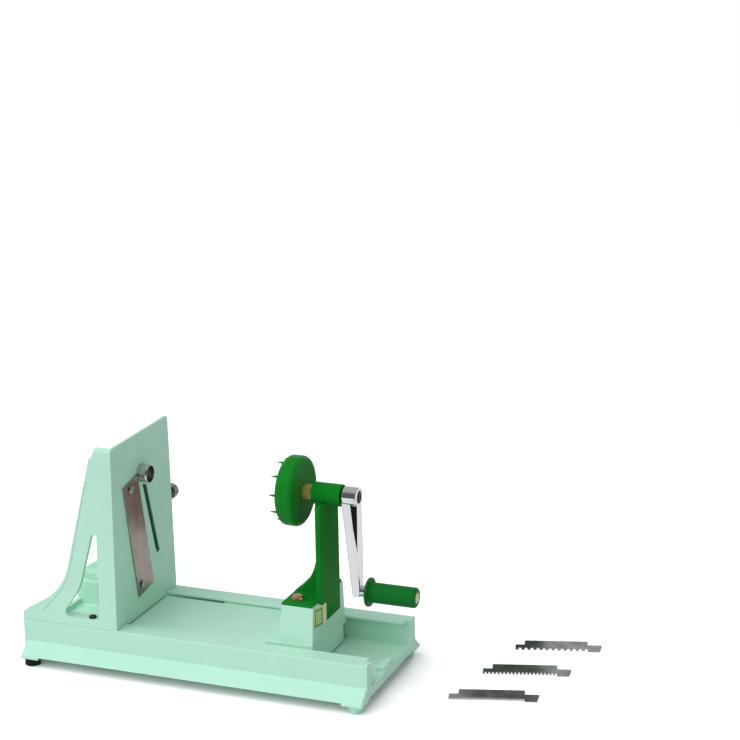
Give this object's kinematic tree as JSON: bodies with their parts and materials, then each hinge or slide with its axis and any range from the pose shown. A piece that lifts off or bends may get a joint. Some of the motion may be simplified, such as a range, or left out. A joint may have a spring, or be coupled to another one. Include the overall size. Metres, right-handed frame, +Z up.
{
  "type": "hand cranked spiral slicer",
  "caption": "Hand cranked spiral slicer: channel base, blade tower, sliding carriage with a spiked wheel on a crank, and loose comb blades.",
  "frame": {"origin": "middle of the base in plan, on the plane that the four feet stand on", "axes": "+X along the base from the tower to the crank, +Y across it towards the thumb screw, +Z up"},
  "size_m": [0.4736, 0.2138, 0.2039],
  "materials": {
    "mint_plastic": "moulded ABS, pale mint, satin with fine grain",
    "black_rubber": "soft black rubber",
    "screw_steel": "plated steel",
    "dark_screw": "blackened steel",
    "blade_steel": "ground and brushed stainless steel",
    "brass": "turned brass",
    "bush_bronze": "sintered bronze",
    "chrome": "bright chrome plate",
    "copper_screw": "copper plated, polished",
    "badge_foil": "pale gold lacquered plate, blank",
    "green_plastic": "moulded green plastic, semi-gloss",
    "dark_green_plastic": "moulded dark green plastic, semi-gloss",
    "cream_plastic": "pale cream plug"
  },
  "bodies": {
    "base": {"base_channel": "mint_plastic", "peg_feet": "mint_plastic", "rubber_feet": "black_rubber", "tower_frame": "mint_plastic", "tower_screws": "screw_steel", "slicing_blade": "blade_steel", "blade_screws": "screw_steel", "coring_tube": "blade_steel", "tube_collar": "mint_plastic", "clamp_insert": "brass"},
    "carriage": {"carriage": "mint_plastic", "crank_post": "dark_green_plastic", "post_screws": "copper_screw", "badge_plate": "badge_foil", "rear_bush": "bush_bronze", "front_bush": "bush_bronze"},
    "crank": {"crank_shaft": "screw_steel", "spiked_wheel": "green_plastic", "wheel_screw": "screw_steel", "lock_nut": "brass", "thrust_washer": "screw_steel", "crank_arm": "chrome", "crank_screw": "dark_screw", "grip_pin": "screw_steel"},
    "handle": {"grip": "dark_green_plastic", "grip_cap": "cream_plastic"},
    "clamp": {"clamp_pad": "screw_steel"},
    "thumb": {"thumb_screw": "chrome"},
    "comb_fine": {"comb_blade_fine": "blade_steel"},
    "comb_medium": {"comb_blade_medium": "blade_steel"},
    "comb_coarse": {"comb_blade_coarse": "blade_steel"}
  },
  "joints": [
    {"name": "carriage_slide", "type": "slide", "parent": "base", "child": "carriage", "axis": [1, 0, 0], "range_m": [-0.125, 0.05]},
    {"name": "crank_spin", "type": "hinge", "parent": "carriage", "child": "crank", "pos_m": [0.10175, 0, 0.1665], "axis": [1, 0, 0], "continuous": true},
    {"name": "grip_spin", "type": "hinge", "parent": "crank", "child": "handle", "pos_m": [0.16175, 0, 0.0825], "axis": [1, 0, 0], "continuous": true},
    {"name": "clamp_travel", "type": "slide", "parent": "base", "child": "clamp", "axis": [0, 1, 0], "range_m": [-0.001, 0.004]},
    {"name": "thumb_turn", "type": "hinge", "parent": "clamp", "child": "thumb", "pos_m": [-0.07475, 0, 0.1285], "axis": [0, 1, 0], "range_deg": [-514, 2057]},
    {"name": "comb_fine_lift", "type": "slide", "parent": "base", "child": "comb_fine", "axis": [0, 0, 1], "range_m": [0, 0.15]},
    {"name": "comb_medium_lift", "type": "slide", "parent": "base", "child": "comb_medium", "axis": [0, 0, 1], "range_m": [0, 0.15]},
    {"name": "comb_coarse_lift", "type": "slide", "parent": "base", "child": "comb_coarse", "axis": [0, 0, 1], "range_m": [0, 0.15]}
  ],
  "couplings": [
    {"joint": "clamp_travel", "follows": "thumb_turn", "m_per_rad": 0.00011141}
  ]
}
